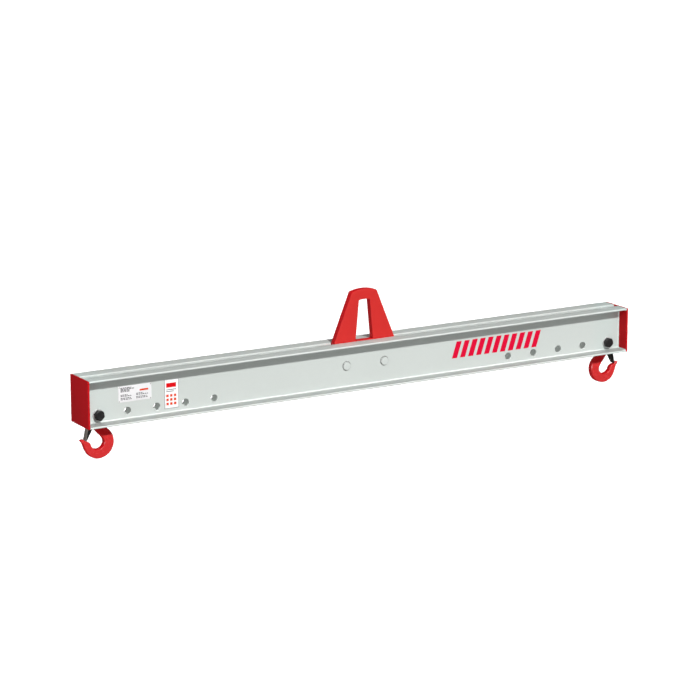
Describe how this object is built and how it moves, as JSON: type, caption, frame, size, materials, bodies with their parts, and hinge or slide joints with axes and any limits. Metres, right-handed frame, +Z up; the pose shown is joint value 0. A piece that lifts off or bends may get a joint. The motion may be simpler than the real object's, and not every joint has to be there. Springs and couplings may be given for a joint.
{
  "type": "spreader beam",
  "caption": "Lifting spreader beam of two back-to-back channels with a central pinned suspension lug and a latched swinging load hook bolted in the slot near each end.",
  "frame": {"origin": "bearing point of the lifting eye: the top of the suspension lug's slot on the beam's mid plane, where the crane hook sits", "axes": "+X along the beam, +Y towards the rear channel, +Z up; the labelled channel faces -Y"},
  "size_m": [2.0134, 0.125, 0.4286],
  "materials": {
    "channel_paint": "light grey semi-gloss coat on rolled steel",
    "red_paint": "signal red semi-gloss coat on steel plate",
    "hook_paint": "red powder coat on forged steel",
    "black_fastener": "black oxide, satin",
    "zinc_plate": "zinc-plated steel washers, dull bright grey",
    "bare_steel": "turned steel, lightly oiled",
    "latch_steel": "dark pressed sheet steel",
    "spring_steel": "bright spring wire",
    "plate_white": null,
    "label_white": null,
    "marking_red": "red vinyl"
  },
  "bodies": {
    "beam": {"channel_front": "channel_paint", "channel_rear": "channel_paint", "end_plate_left": "red_paint", "end_plate_right": "red_paint", "suspension_lug": "red_paint", "lug_pin_left": "channel_paint", "lug_pin_right": "channel_paint", "hook_bolt_left": "black_fastener", "lock_nut_left": "black_fastener", "head_washer_left": "zinc_plate", "nut_washer_left": "zinc_plate", "front_spacer_left": "bare_steel", "rear_spacer_left": "bare_steel", "hook_bolt_right": "black_fastener", "lock_nut_right": "black_fastener", "head_washer_right": "zinc_plate", "nut_washer_right": "zinc_plate", "front_spacer_right": "bare_steel", "rear_spacer_right": "bare_steel", "rating_plate": "plate_white", "inspection_label": "label_white", "side_marking": "marking_red"},
    "hook_left": {"load_hook_left": "hook_paint", "latch_pin_left": "bare_steel", "latch_spring_left": "spring_steel"},
    "latch_left": {"latch_left": "latch_steel"},
    "hook_right": {"load_hook_right": "hook_paint", "latch_pin_right": "bare_steel", "latch_spring_right": "spring_steel"},
    "latch_right": {"latch_right": "latch_steel"}
  },
  "joints": [
    {"name": "hook_swing_left", "type": "hinge", "parent": "beam", "child": "hook_left", "pos_m": [-0.95, 0, -0.254], "axis": [0, -1, 0], "range_deg": [-22, 90]},
    {"name": "latch_hinge_left", "type": "hinge", "parent": "hook_left", "child": "latch_left", "pos_m": [-0.963, 0, -0.277], "axis": [0, -1, 0], "range_deg": [0, 45], "stiffness_Nm_per_rad": 0.08, "springref_deg": -34.38},
    {"name": "hook_swing_right", "type": "hinge", "parent": "beam", "child": "hook_right", "pos_m": [0.95, 0, -0.254], "axis": [0, 1, 0], "range_deg": [-22, 90]},
    {"name": "latch_hinge_right", "type": "hinge", "parent": "hook_right", "child": "latch_right", "pos_m": [0.963, 0, -0.277], "axis": [0, 1, 0], "range_deg": [0, 45], "stiffness_Nm_per_rad": 0.08, "springref_deg": -34.38}
  ]
}
